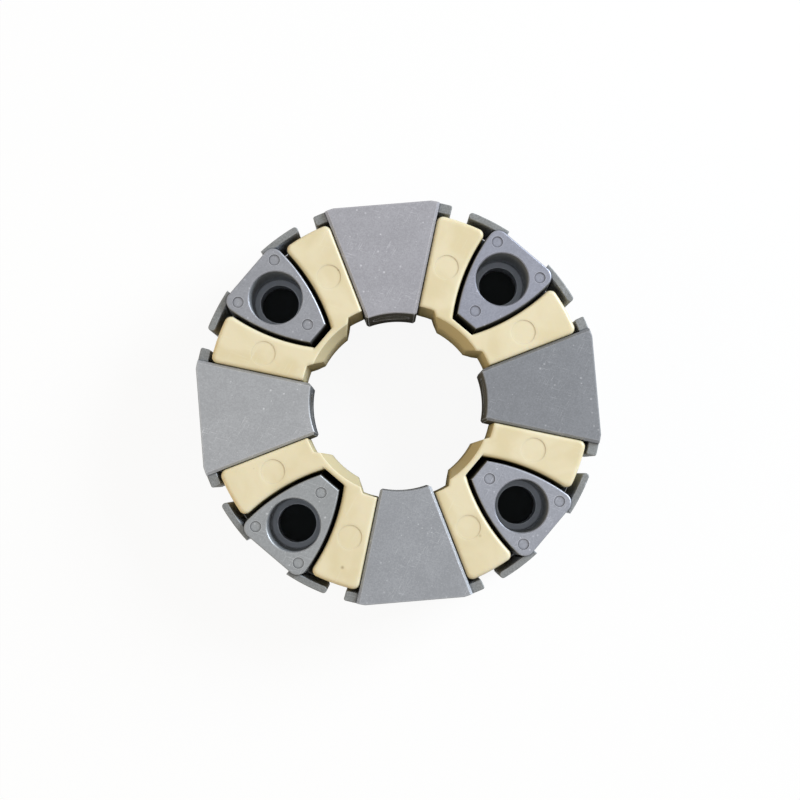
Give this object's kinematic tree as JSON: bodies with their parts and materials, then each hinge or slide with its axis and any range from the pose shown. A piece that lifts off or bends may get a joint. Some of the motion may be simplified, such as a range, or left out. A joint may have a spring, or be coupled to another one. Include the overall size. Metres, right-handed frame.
{
  "type": "flexible shaft coupling",
  "caption": "Flat flexible ring coupling: cream elastomer V elements between cast aluminium inserts for axial flywheel bolts and radial hub bolts.",
  "frame": {"origin": "centre of the ring on the flywheel side, at the lowest face", "axes": "+Z along the shaft, towards the counterbored side; the radial inserts lie on the X and Y axes"},
  "size_m": [0.1902, 0.1902, 0.045],
  "materials": {
    "cast_aluminium": "as cast, blasted, with fine scratches",
    "cream_elastomer": "moulded thermoplastic elastomer, satin"
  },
  "bodies": {
    "root": {"radial_insert_1": "cast_aluminium", "radial_insert_2": "cast_aluminium", "radial_insert_3": "cast_aluminium", "radial_insert_4": "cast_aluminium", "axial_insert_1": "cast_aluminium", "axial_insert_2": "cast_aluminium", "axial_insert_3": "cast_aluminium", "axial_insert_4": "cast_aluminium", "elastic_element_1": "cream_elastomer", "elastic_element_2": "cream_elastomer", "elastic_element_3": "cream_elastomer", "elastic_element_4": "cream_elastomer"}
  },
  "joints": []
}
